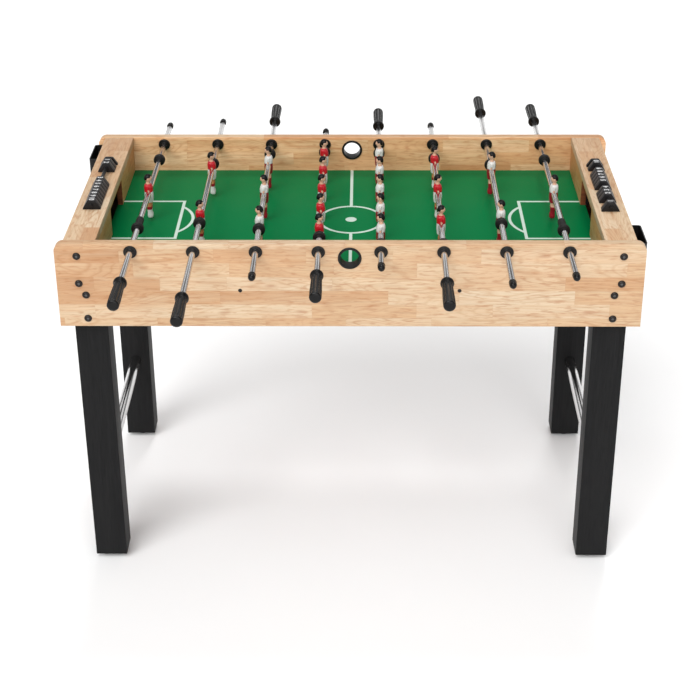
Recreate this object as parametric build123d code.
from build123d import *
import os

# Foosball table of the 48 inch class, with eight through rods. Millimetres, +Z up.
# The origin is on the floor under the middle of the playing field. +X runs along the field and
# -Y is the near player's side. Red men face +X and are played from -Y, white men face -X.

# Cabinet
CASE_LENGTH = 1219.0
CASE_WIDTH = 610.0
CASE_TOP = 812.0
PANEL_HEIGHT = 192.0
PANEL_THICK = 21.0
PANEL_CORNER_R = 18.0
PANEL_BOTTOM = CASE_TOP - PANEL_HEIGHT
OUTER_Y = CASE_WIDTH / 2
INNER_Y = OUTER_Y - PANEL_THICK

# Playing field and its end structure
FIELD_Z = CASE_TOP - 85.0
FIELD_HALF_LENGTH = 526.0
FIELD_THICK = 9.0
GOAL_WALL_THICK = 12.0
GOAL_WIDTH = 160.0
GOAL_HEIGHT = 61.0
RAIL_THICK = 18.0
RAIL_OUTER_X = 592.0
RAIL_Z = CASE_TOP - RAIL_THICK
END_PANEL_THICK = 8.0
GOAL_BACK_X = FIELD_HALF_LENGTH + GOAL_WALL_THICK
END_INNER_X = RAIL_OUTER_X - END_PANEL_THICK
BATTEN = 20.0
BATTEN_HALF_LENGTH = 505.0
CORNER_BLOCK_Y = 22.0
CORNER_BLOCK_Z = 706.0
EASE = 0.5

# Ball tray behind each goal, ball-return pocket and ball
TRAY_FLOOR_Z = 676.0
TRAY_WALL = 3.0
TRAY_CLOSED_Y = 100.0
TRAY_EXIT_Y = 221.0
EXIT_WIDTH = 34.0
EXIT_HEIGHT = 40.0
POCKET_DEPTH = 24.0
POCKET_Y = (181.0, 272.0)
POCKET_Z = (664.0, 798.0)
POCKET_WALL = 2.5
POCKET_CORNER_R = 6.0
POCKET_WINDOW_Y = (201.0, 252.0)
POCKET_WINDOW_Z = (690.0, 764.0)
POCKET_WINDOW_R = 12.0
BALL_R = 16.0
BALL_Y = 55.0
BALL_LIFT = 0.3

# Legs
LEG_X = 549.0
LEG_SIZE_X = 70.0
LEG_SIZE_Y = 60.0
LEG_BOTTOM = 15.0
LEG_TOP = 705.0
LEG_Y = INNER_Y - LEG_SIZE_Y / 2
CAP_THICK = 3.0
FOOT_R = 14.0
FOOT_THICK = 8.0
FOOT_NUT_R = 7.0
STEM_R = 4.0
STEM_LENGTH = 35.0
STEM_HOLE_LENGTH = 40.0
THREAD_GAP = 0.06
BRACE_R = 13.0
BRACE_WALL = 1.5
BRACE_Z = 231.0
BRACE_SOCKET = 12.0

# Ball-serve holes, in the middle of each side panel
SERVE_Z = CASE_TOP - 32.0
SERVE_BORE_R = 19.5
SERVE_SLEEVE_R = 21.5
SERVE_FLANGE_R = 24.5
SERVE_FLANGE = 2.5

# Rods and their bearings
ROD_PITCH = 129.0
ROD_Z = CASE_TOP - 18.0
ROD_R = 6.35
ROD_WALL = 1.2
RUN_GAP = 0.05
SLEEVE_R = 8.9
FLANGE_R = 14.0
FLANGE_THICK = 3.5
HUB_LENGTH = 3.5
BEARING_REACH = FLANGE_THICK + HUB_LENGTH

# Each rod: how many men, which side its handle is on (-1 near, +1 far), where its middle lies along Y,
# and the rim centres of the bumpers that grip it. None is a bumper that lies loose against the wall.
RODS = [
    {"men": 1, "side": -1, "middle": -3.0, "near": -191.0, "far": 188.0},
    {"men": 2, "side": -1, "middle": -8.0, "near": -165.5, "far": 164.0},
    {"men": 3, "side": +1, "middle": -6.0, "near": -195.5, "far": 223.0},
    {"men": 5, "side": -1, "middle": -3.0, "near": -234.5, "far": 235.0},
    {"men": 5, "side": +1, "middle": -3.0, "near": None, "far": 228.5},
    {"men": 3, "side": -1, "middle": -3.0, "near": None, "far": 196.0},
    {"men": 2, "side": +1, "middle": -7.0, "near": -167.0, "far": 158.0},
    {"men": 1, "side": +1, "middle": -5.0, "near": -199.0, "far": 187.0},
]
MEN_PITCH = {1: 0.0, 2: 270.0, 3: 167.0, 5: 104.5}
HANDLE_FROM_MIDDLE = {1: 438.0, 2: 497.0, 3: 438.0, 5: 405.0}
CAP_FROM_MIDDLE = {1: 422.0, 2: 453.0, 3: 422.0, 5: 382.0}

# Bumpers
BUMPER_R = 13.5
BUMPER_RIM = 12.0
BUMPER_NECK_R = 8.5
BUMPER_HUB = 2.0
BUMPER_NECK = 3.0
SPACER_LENGTH = 36.0

# Handles and end caps
PRESS_GAP = 0.02
HANDLE_LENGTH = 101.0
HANDLE_COLLAR_R = 14.0
HANDLE_BORE_DEPTH = 80.0
FLUTES = 8
FLUTE_R = 1.7
FLUTE_AXIS_R = 12.8
END_CAP_LENGTH = 20.0
END_CAP_BORE = 14.0

# Players: outlines relative to the rod axis, forward and up, then half width and up
MAN_SIDE = [
    (-8, 24), (6, 25), (10, 15), (10, 0), (9.5, -8), (8.5, -21), (6, -25), (5.5, -46),
    (9, -51), (9, -59), (-6, -59), (-6.5, -47), (-6.5, -25), (-9.5, -21), (-10, -6), (-11.5, 8),
]
MAN_HALF_FRONT = [
    (8, 26), (11.5, 20), (12.5, 10), (12.5, -3), (10.5, -6), (10, -21), (7.5, -25), (6.5, -46), (7.5, -52), (7, -59),
]
HEAD_R = 9.2
HEAD_Z = 36.8
NECK_R = 4.5

# Score counters on the end rails
COUNTER_X = 557.0
COUNTER_LENGTH = 255.0
COUNTER_MIDDLE = {-1: -16.0, +1: -26.0}
COUNTER_BLOCK = 9.0
COUNTER_BLOCK_BASE = 39.0
COUNTER_BLOCK_TOP = 18.0
COUNTER_BLOCK_HEIGHT = 18.5
COUNTER_ROD_R = 4.0
COUNTER_ROD_Z = CASE_TOP + 10.5
COUNTER_ROD_SEAT = 6.0
BEAD_PITCH = 16.5
BEAD_LENGTH = 16.3
BEAD_BASE = 38.0
BEAD_TOP = 13.0
BEAD_Z = (CASE_TOP + 1.0, CASE_TOP + 22.0)
# Groups of beads lying together, from the near end to the far end: how many, and the gap after them
BEAD_GROUPS = {-1: [(8, 71.0), (2, 0.3)], +1: [(1, 26.0), (3, 20.5), (5, 24.5), (1, 0.3)]}

# Fasteners
BOLT_HEAD_R = 8.25
BOLT_HEAD = 4.0
BOLT_SOCKET_R = 3.0
BOLT_SOCKET = 2.0
BOLT_R = 3.0
BOLT_LENGTH = 36.0
BOLT_HOLE_R = 3.1
BOLT_HOLE_LENGTH = 38.0
UPPER_BOLTS = [(563.0, CASE_TOP - 28.0), (563.0, CASE_TOP - 91.0)]
LOWER_BOLTS = [(550.0, CASE_TOP - 118.0), (550.0, CASE_TOP - 173.0)]
SCREW_X = 228.0
SCREW_Z = CASE_TOP - 107.0
SCREW_HEAD_R = 4.2
SCREW_HEAD = 1.5
SCREW_R = 1.8
SCREW_LENGTH = 34.0
SCREW_HOLE_R = 1.9
SCREW_HOLE_LENGTH = 36.0


def save(name, *solids):
    """Writes one node: a single solid, or a group of separate solids."""
    shape = solids[0] if len(solids) == 1 else Compound(children=list(solids))
    shape.label = name
    export_step(shape, f"parts/{name}.step")


def block(x_range, y_range, z_range):
    """A box between two corners."""
    low = Vector(min(x_range), min(y_range), min(z_range))
    high = Vector(max(x_range), max(y_range), max(z_range))
    size = high - low
    middle = (low + high) / 2
    return Pos(middle.X, middle.Y, middle.Z) * Box(size.X, size.Y, size.Z)


def y_bar(x, z, radius, y_from, y_to):
    """A round bar along Y."""
    return Pos(x, (y_from + y_to) / 2, z) * Rot(90, 0, 0) * Cylinder(radius, abs(y_to - y_from))


def y_ring(x, z, outer_r, inner_r, y_from, y_to):
    """A tube along Y."""
    return y_bar(x, z, outer_r, y_from, y_to) - y_bar(x, z, inner_r, y_from - 1, y_to + 1)


def z_bar(x, y, radius, z_from, z_to):
    """A round bar along Z."""
    return Pos(x, y, (z_from + z_to) / 2) * Cylinder(radius, abs(z_to - z_from))


def prism(points, plane, reach):
    """The outline drawn on a plane, extruded the same distance both ways."""
    outline = plane * Polyline(*points, close=True)
    return extrude(make_face(outline), reach, both=True)


def turned(shape):
    """The same shape at the other end of the table, half a turn round the middle."""
    return Rot(0, 0, 180) * shape


def rod_x(number):
    """X of a rod, numbered 1 to 8 from the left."""
    return (number - (len(RODS) + 1) / 2) * ROD_PITCH


def bolt_places():
    """X, Z and side of every corner bolt."""
    places = UPPER_BOLTS + LOWER_BOLTS
    return [(end * x, z, side) for x, z in places for end in (-1, 1) for side in (-1, 1)]


def screw_places():
    """X, Z and side of the screws that hold the field battens."""
    return [(end * SCREW_X, SCREW_Z, side) for end in (-1, 1) for side in (-1, 1)]


def with_fastener_holes(shape):
    """Cuts the bolt and screw holes that pass through a wooden piece."""
    for x, z, side in bolt_places():
        shape -= y_bar(x, z, BOLT_HOLE_R, side * (OUTER_Y + 1), side * (OUTER_Y - BOLT_HOLE_LENGTH))
    for x, z, side in screw_places():
        shape -= y_bar(x, z, SCREW_HOLE_R, side * (OUTER_Y + 1), side * (OUTER_Y - SCREW_HOLE_LENGTH))
    return shape


def side_panel(side):
    """A long side with two rounded top corners, rod holes and the ball-serve hole."""
    half = CASE_LENGTH / 2
    panel = block((-half, half), (side * INNER_Y, side * OUTER_Y), (PANEL_BOTTOM, CASE_TOP))
    panel = fillet(panel.edges().filter_by(Axis.Y).group_by(Axis.Z)[-1], PANEL_CORNER_R)
    ends = (side * (INNER_Y - 1), side * (OUTER_Y + 1))
    for number in range(1, len(RODS) + 1):
        panel -= y_bar(rod_x(number), ROD_Z, SLEEVE_R + RUN_GAP, *ends)
    panel -= y_bar(0, SERVE_Z, SERVE_SLEEVE_R + RUN_GAP, *ends)
    return with_fastener_holes(panel)


def end_panel():
    """The right-hand end board, with the hole that lets a ball out to its pocket."""
    board = block((END_INNER_X, RAIL_OUTER_X), (-INNER_Y, INNER_Y), (PANEL_BOTTOM, RAIL_Z))
    return board - exit_hole()


def exit_hole():
    """The way from the right-hand tray through the end board into the pocket."""
    near = -(TRAY_EXIT_Y - TRAY_WALL)
    levels = (TRAY_FLOOR_Z, TRAY_FLOOR_Z + EXIT_HEIGHT)
    return block((END_INNER_X - TRAY_WALL - 1, RAIL_OUTER_X + POCKET_WALL + 1), (near, near + EXIT_WIDTH), levels)


def end_rail():
    """The right-hand top cap that carries the score counter."""
    return block((FIELD_HALF_LENGTH - 1, RAIL_OUTER_X), (-INNER_Y, INNER_Y), (RAIL_Z, CASE_TOP))


def goal_wall():
    """The right-hand end wall of the field, cut away at the goal."""
    across = (FIELD_HALF_LENGTH, GOAL_BACK_X)
    wall = block(across, (-INNER_Y, INNER_Y), (FIELD_Z, RAIL_Z))
    mouth = block(
        (across[0] - 1, across[1] + 1),
        (-GOAL_WIDTH / 2, GOAL_WIDTH / 2),
        (FIELD_Z - 1, FIELD_Z + GOAL_HEIGHT),
    )
    return wall - mouth


def playfield():
    """The green board, which runs out under the goal walls."""
    return block((-GOAL_BACK_X, GOAL_BACK_X), (-INNER_Y, INNER_Y), (FIELD_Z - FIELD_THICK, FIELD_Z))


def inner_battens():
    """Battens under the field and blocks in the four corners, all raw wood."""
    pieces = []
    under = FIELD_Z - FIELD_THICK
    for side in (-1, 1):
        batten = block(
            (-BATTEN_HALF_LENGTH, BATTEN_HALF_LENGTH),
            (side * INNER_Y, side * (INNER_Y - BATTEN)),
            (under - BATTEN, under),
        )
        pieces.append(with_fastener_holes(batten))
        for end in (-1, 1):
            corner = block(
                (end * (GOAL_BACK_X + EASE), end * (END_INNER_X - EASE)),
                (side * INNER_Y, side * (INNER_Y - CORNER_BLOCK_Y)),
                (CORNER_BLOCK_Z, RAIL_Z),
            )
            pieces.append(with_fastener_holes(corner))
    return pieces


def goal_tray():
    """The right-hand ball tray: a floor, an inner wall, an outer wall with the exit, and two ends."""
    across = (GOAL_BACK_X + EASE, END_INNER_X - EASE)
    along = (-TRAY_EXIT_Y, TRAY_CLOSED_Y)
    levels = (TRAY_FLOOR_Z - TRAY_WALL, FIELD_Z - FIELD_THICK)
    tray = block(across, along, levels)
    tray -= block(
        (across[0] + TRAY_WALL, across[1] - TRAY_WALL),
        (along[0] + TRAY_WALL, along[1] - TRAY_WALL),
        (TRAY_FLOOR_Z, levels[1] + 1),
    )
    return tray - exit_hole()


def ball_return():
    """The right-hand pocket on the outside of the end board, open at the top and through a window."""
    x_range = (RAIL_OUTER_X, RAIL_OUTER_X + POCKET_DEPTH)
    y_range = (-POCKET_Y[1], -POCKET_Y[0])
    pocket = block(x_range, y_range, POCKET_Z)
    pocket = fillet(pocket.edges().filter_by(Axis.Z).group_by(Axis.X)[-1], POCKET_CORNER_R)
    inside = block(
        (x_range[0] + POCKET_WALL, x_range[1] - POCKET_WALL),
        (y_range[0] + POCKET_WALL, y_range[1] - POCKET_WALL),
        (POCKET_Z[0] + POCKET_WALL, POCKET_Z[1] + 1),
    )
    inner_corners = inside.edges().filter_by(Axis.Z).group_by(Axis.X)[-1]
    pocket -= fillet(inner_corners, POCKET_CORNER_R - POCKET_WALL)
    window = block(
        (x_range[1] - POCKET_WALL - 1, x_range[1] + 1),
        (-POCKET_WINDOW_Y[1], -POCKET_WINDOW_Y[0]),
        POCKET_WINDOW_Z,
    )
    window = fillet(window.edges().filter_by(Axis.X), POCKET_WINDOW_R)
    return pocket - window - exit_hole()


def serve_ring(side):
    """A flanged sleeve through the side panel and the collar that holds it from inside."""
    outer = side * (OUTER_Y + SERVE_FLANGE)
    inner = side * (INNER_Y - SERVE_FLANGE)
    sleeve = y_ring(0, SERVE_Z, SERVE_SLEEVE_R, SERVE_BORE_R, min(outer, inner), max(outer, inner))
    face = sorted((side * OUTER_Y, outer))
    sleeve += y_ring(0, SERVE_Z, SERVE_FLANGE_R, SERVE_BORE_R, *face)
    back = sorted((side * INNER_Y, inner))
    collar = y_ring(0, SERVE_Z, SERVE_FLANGE_R, SERVE_SLEEVE_R + RUN_GAP, *back)
    return [sleeve, collar]


def rod_bearing(number, side):
    """A flanged plastic bush through the side panel and its nut on the inner face."""
    x = rod_x(number)
    bore = ROD_R + RUN_GAP
    outer = side * (OUTER_Y + BEARING_REACH)
    inner = side * (INNER_Y - BEARING_REACH)
    bush = y_ring(x, ROD_Z, SLEEVE_R, bore, min(outer, inner), max(outer, inner))
    face = sorted((side * OUTER_Y, side * (OUTER_Y + FLANGE_THICK)))
    bush += y_ring(x, ROD_Z, FLANGE_R, bore, *face)
    back = sorted((side * INNER_Y, side * (INNER_Y - FLANGE_THICK)))
    nut = y_ring(x, ROD_Z, FLANGE_R, SLEEVE_R + RUN_GAP, *back)
    return [bush, nut]


def leg(end, side):
    """A painted leg with holes for its bolts, its levelling foot and its brace."""
    x = end * LEG_X
    y = side * LEG_Y
    post = block(
        (x - LEG_SIZE_X / 2, x + LEG_SIZE_X / 2),
        (y - LEG_SIZE_Y / 2, y + LEG_SIZE_Y / 2),
        (LEG_BOTTOM, LEG_TOP),
    )
    post -= z_bar(x, y, STEM_R + THREAD_GAP, LEG_BOTTOM - 1, LEG_BOTTOM + STEM_HOLE_LENGTH)
    inner_face = y - side * LEG_SIZE_Y / 2
    post -= y_bar(x, BRACE_Z, BRACE_R + PRESS_GAP, inner_face - side, inner_face + side * BRACE_SOCKET)
    return with_fastener_holes(post)


def leg_end_cap(end, side):
    """The thin plastic cap under a leg."""
    x = end * LEG_X
    y = side * LEG_Y
    cap = block(
        (x - LEG_SIZE_X / 2, x + LEG_SIZE_X / 2),
        (y - LEG_SIZE_Y / 2, y + LEG_SIZE_Y / 2),
        (LEG_BOTTOM - CAP_THICK, LEG_BOTTOM),
    )
    return cap - z_bar(x, y, STEM_R + THREAD_GAP, 0, LEG_BOTTOM + 1)


def leveller(end, side):
    """A levelling foot: round pad, nut and threaded stem."""
    x = end * LEG_X
    y = side * LEG_Y
    nut_top = LEG_BOTTOM - CAP_THICK
    foot = z_bar(x, y, FOOT_R, 0, FOOT_THICK)
    foot += z_bar(x, y, FOOT_NUT_R, FOOT_THICK, nut_top)
    return foot + z_bar(x, y, STEM_R, nut_top, nut_top + STEM_LENGTH)


def leg_brace(end):
    """The tube between a near leg and the far leg behind it, seated in a socket in each."""
    reach = LEG_Y - LEG_SIZE_Y / 2 + BRACE_SOCKET
    return y_ring(end * LEG_X, BRACE_Z, BRACE_R, BRACE_R - BRACE_WALL, -reach, reach)


def corner_bolt(x, z, side):
    """A round-headed bolt with a socket, going in through a side panel."""
    face = side * OUTER_Y
    top = side * (OUTER_Y + BOLT_HEAD)
    bolt = y_bar(x, z, BOLT_HEAD_R, face, top) + y_bar(x, z, BOLT_R, face, side * (OUTER_Y - BOLT_LENGTH))
    return bolt - y_bar(x, z, BOLT_SOCKET_R, top, side * (OUTER_Y + BOLT_HEAD - BOLT_SOCKET))


def batten_screw(x, z, side):
    """A small screw through a side panel into the field batten."""
    face = side * OUTER_Y
    head = y_bar(x, z, SCREW_HEAD_R, face, side * (OUTER_Y + SCREW_HEAD))
    return head + y_bar(x, z, SCREW_R, face, side * (OUTER_Y - SCREW_LENGTH))


def man(facing):
    """One moulded player, upright, with the rod axis along Y through the origin."""
    side_points = [(facing * x, z) for x, z in MAN_SIDE]
    front_points = MAN_HALF_FRONT + [(-y, z) for y, z in reversed(MAN_HALF_FRONT)]
    figure = prism(side_points, Plane.XZ, 2 * HEAD_R) & prism(front_points, Plane.YZ, 2 * HEAD_R)
    figure += z_bar(0, 0, NECK_R, 2 * NECK_R, HEAD_Z)
    figure += Pos(0, 0, HEAD_Z) * Sphere(HEAD_R)
    return figure - y_bar(0, 0, ROD_R + PRESS_GAP, -4 * HEAD_R, 4 * HEAD_R)


def men_places(rod):
    """Y of each man on a rod."""
    count = rod["men"]
    return [rod["middle"] + (k - (count - 1) / 2) * MEN_PITCH[count] for k in range(count)]


def handle():
    """A fluted handle along +Z, with its collar at the origin and a blind bore for the rod."""
    bore = ROD_R + PRESS_GAP
    profile = Polyline(
        (bore, 0), (HANDLE_COLLAR_R, 0), (HANDLE_COLLAR_R, 7), (10.6, 12), (11.4, 30), (12.3, 70), (12.0, 90),
        (9.0, HANDLE_LENGTH), (0, HANDLE_LENGTH), (0, HANDLE_BORE_DEPTH), (bore, HANDLE_BORE_DEPTH), close=True,
    )
    grip = revolve(make_face(Plane.XZ * profile), Axis.Z)
    for k in range(FLUTES):
        groove = Pos(FLUTE_AXIS_R, 0, HANDLE_LENGTH / 2 + 8) * Cylinder(FLUTE_R, HANDLE_LENGTH - 26)
        grip -= Rot(0, 0, k * 360 / FLUTES) * groove
    return grip


def end_cap():
    """A bullet-shaped safety cap along +Z, with its neck at the origin and a blind bore."""
    bore = ROD_R + PRESS_GAP
    profile = Polyline(
        (bore, 0), (8.0, 0), (8.0, 3), (7.3, 4.5), (7.8, 7), (7.6, 13), (5.5, 18), (3, END_CAP_LENGTH),
        (0, END_CAP_LENGTH), (0, END_CAP_BORE), (bore, END_CAP_BORE), close=True,
    )
    return revolve(make_face(Plane.XZ * profile), Axis.Z)


def along_rod(shape, x, y, side):
    """Lays a shape made along +Z onto a rod, pointing away from the table on that side."""
    return Pos(x, y, ROD_Z) * Rot(-90 * side, 0, 0) * shape


def rod_grip(number):
    """The handle and the opposite end cap of one rod."""
    rod = RODS[number - 1]
    x = rod_x(number)
    side = rod["side"]
    handle_y = rod["middle"] + side * HANDLE_FROM_MIDDLE[rod["men"]]
    cap_y = rod["middle"] - side * (CAP_FROM_MIDDLE[rod["men"]] - END_CAP_LENGTH)
    return [along_rod(handle(), x, handle_y, side), along_rod(end_cap(), x, cap_y, -side)]


def rod_tube(number):
    """The hollow steel rod, from inside its end cap to inside its handle."""
    rod = RODS[number - 1]
    side = rod["side"]
    handle_end = rod["middle"] + side * (HANDLE_FROM_MIDDLE[rod["men"]] + HANDLE_BORE_DEPTH - 1)
    cap_end = rod["middle"] - side * (CAP_FROM_MIDDLE[rod["men"]] - END_CAP_LENGTH + END_CAP_BORE - 1)
    ends = sorted((handle_end, cap_end))
    return y_ring(rod_x(number), ROD_Z, ROD_R, ROD_R - ROD_WALL, *ends)


def bumper(x, rim_y):
    """A rubber bumper: a fat rim, a short hub towards the wall and a neck towards the men."""
    wall = 1 if rim_y > 0 else -1
    bore = ROD_R + RUN_GAP
    rim = sorted((rim_y - BUMPER_RIM / 2, rim_y + BUMPER_RIM / 2))
    hub_end = rim_y + wall * (BUMPER_RIM / 2 + BUMPER_HUB)
    neck_end = rim_y - wall * (BUMPER_RIM / 2 + BUMPER_NECK)
    body = y_ring(x, ROD_Z, BUMPER_R, bore, *rim)
    return body + y_ring(x, ROD_Z, BUMPER_NECK_R, bore, *sorted((hub_end, neck_end)))


def goalie_spacer(x, rim_y):
    """The sleeve that stands between a goalkeeper's near bumper and the man."""
    start = rim_y + BUMPER_RIM / 2 + BUMPER_NECK
    return y_ring(x, ROD_Z, BUMPER_NECK_R, ROD_R + RUN_GAP, start, start + SPACER_LENGTH)


def rod_bumpers(number):
    """The bumpers that grip one rod, with the spacer on a goalkeeper's rod."""
    rod = RODS[number - 1]
    x = rod_x(number)
    pieces = [bumper(x, rod["far"])]
    if rod["near"] is not None:
        pieces.append(bumper(x, rod["near"]))
    if rod["men"] == 1:
        pieces.append(goalie_spacer(x, rod["near"]))
    return pieces


def wall_bumpers():
    """The near bumpers that have slid along their rods and lie against the near wall's bearings."""
    rim_y = -(INNER_Y - BEARING_REACH - BUMPER_RIM / 2 - BUMPER_HUB)
    loose = [number for number, rod in enumerate(RODS, 1) if rod["near"] is None]
    return [bumper(rod_x(number), rim_y) for number in loose]


def trapezoid(base, top, z_range, y_range):
    """A counter piece: a trapezoid across the rail, as long as its Y range."""
    points = [(-base / 2, z_range[0]), (base / 2, z_range[0]), (top / 2, z_range[1]), (-top / 2, z_range[1])]
    middle = sum(y_range) / 2
    return Pos(0, middle, 0) * prism(points, Plane.XZ, (y_range[1] - y_range[0]) / 2)


def counter_frame(end):
    """The two end blocks on the rail, and the rod between them that the beads slide on."""
    middle = COUNTER_MIDDLE[end]
    x = end * COUNTER_X
    levels = (CASE_TOP, CASE_TOP + COUNTER_BLOCK_HEIGHT)
    inner = COUNTER_LENGTH / 2 - COUNTER_BLOCK
    seat = inner + COUNTER_ROD_SEAT
    pieces = [y_bar(x, COUNTER_ROD_Z, COUNTER_ROD_R, middle - seat, middle + seat)]
    for side in (-1, 1):
        y_range = sorted((middle + side * inner, middle + side * COUNTER_LENGTH / 2))
        end_block = Pos(x, 0, 0) * trapezoid(COUNTER_BLOCK_BASE, COUNTER_BLOCK_TOP, levels, y_range)
        hole_ends = (middle + side * (inner - 1), middle + side * seat)
        pieces.append(end_block - y_bar(x, COUNTER_ROD_Z, COUNTER_ROD_R + PRESS_GAP, *hole_ends))
    return pieces


def bead_groups(end):
    """The beads of one counter, group by group from the near end."""
    start = COUNTER_MIDDLE[end] - COUNTER_LENGTH / 2 + COUNTER_BLOCK + 0.3
    x = end * COUNTER_X
    groups = []
    for count, gap in BEAD_GROUPS[end]:
        beads = []
        for k in range(count):
            near = start + k * BEAD_PITCH
            bead = Pos(x, 0, 0) * trapezoid(BEAD_BASE, BEAD_TOP, BEAD_Z, (near, near + BEAD_LENGTH))
            beads.append(bead - y_bar(x, COUNTER_ROD_Z, COUNTER_ROD_R + RUN_GAP, near - 1, near + BEAD_LENGTH + 1))
        groups.append(beads)
        start += count * BEAD_PITCH + gap
    return groups


def ball():
    """A ball lying in the right-hand tray."""
    x = (GOAL_BACK_X + END_INNER_X) / 2
    return Pos(x, BALL_Y, TRAY_FLOOR_Z + BALL_R + BALL_LIFT) * Sphere(BALL_R)


def build_cabinet():
    """The pieces that stay still."""
    save("side_panel_front", side_panel(-1))
    save("side_panel_back", side_panel(1))
    for name, make in (
        ("end_panels", end_panel),
        ("end_rails", end_rail),
        ("goal_walls", goal_wall),
        ("goal_trays", goal_tray),
        ("ball_returns", ball_return),
    ):
        save(name, make(), turned(make()))
    save("playfield", playfield())
    save("inner_battens", *inner_battens())
    save("serve_rings", *serve_ring(-1), *serve_ring(1))
    bearings = []
    for number in range(1, len(RODS) + 1):
        bearings += rod_bearing(number, -1) + rod_bearing(number, 1)
    save("rod_bearings", *bearings)
    bolts = [corner_bolt(*place) for place in bolt_places()]
    screws = [batten_screw(*place) for place in screw_places()]
    save("fasteners", *bolts, *screws)
    save("wall_bumpers", *wall_bumpers())
    save("counter_frames", *counter_frame(-1), *counter_frame(1))


def build_legs():
    """Legs, braces, end caps and levelling feet."""
    corners = [(end, side) for end in (-1, 1) for side in (-1, 1)]
    save("legs", *[leg(*corner) for corner in corners])
    save("leg_end_caps", *[leg_end_cap(*corner) for corner in corners])
    save("leg_braces", leg_brace(-1), leg_brace(1))
    for end, side in corners:
        where = ("left" if end < 0 else "right") + ("_near" if side < 0 else "_far")
        save(f"leveller_{where}", leveller(end, side))


def build_rods():
    """The eight rods, each with its tube, men, handle with end cap, and bumpers."""
    for number, rod in enumerate(RODS, 1):
        x = rod_x(number)
        figure = man(-rod["side"])
        save(f"rod{number}_tube", rod_tube(number))
        save(f"rod{number}_men", *[Pos(x, y, ROD_Z) * figure for y in men_places(rod)])
        save(f"rod{number}_grip", *rod_grip(number))
        save(f"rod{number}_bumpers", *rod_bumpers(number))


def build_counters():
    """The score beads and the ball."""
    for end, word in ((-1, "left"), (1, "right")):
        for index, beads in enumerate(bead_groups(end), 1):
            save(f"beads_{word}_{index}", *beads)
    save("ball", ball())


os.makedirs("parts", exist_ok=True)
build_cabinet()
build_legs()
build_rods()
build_counters()
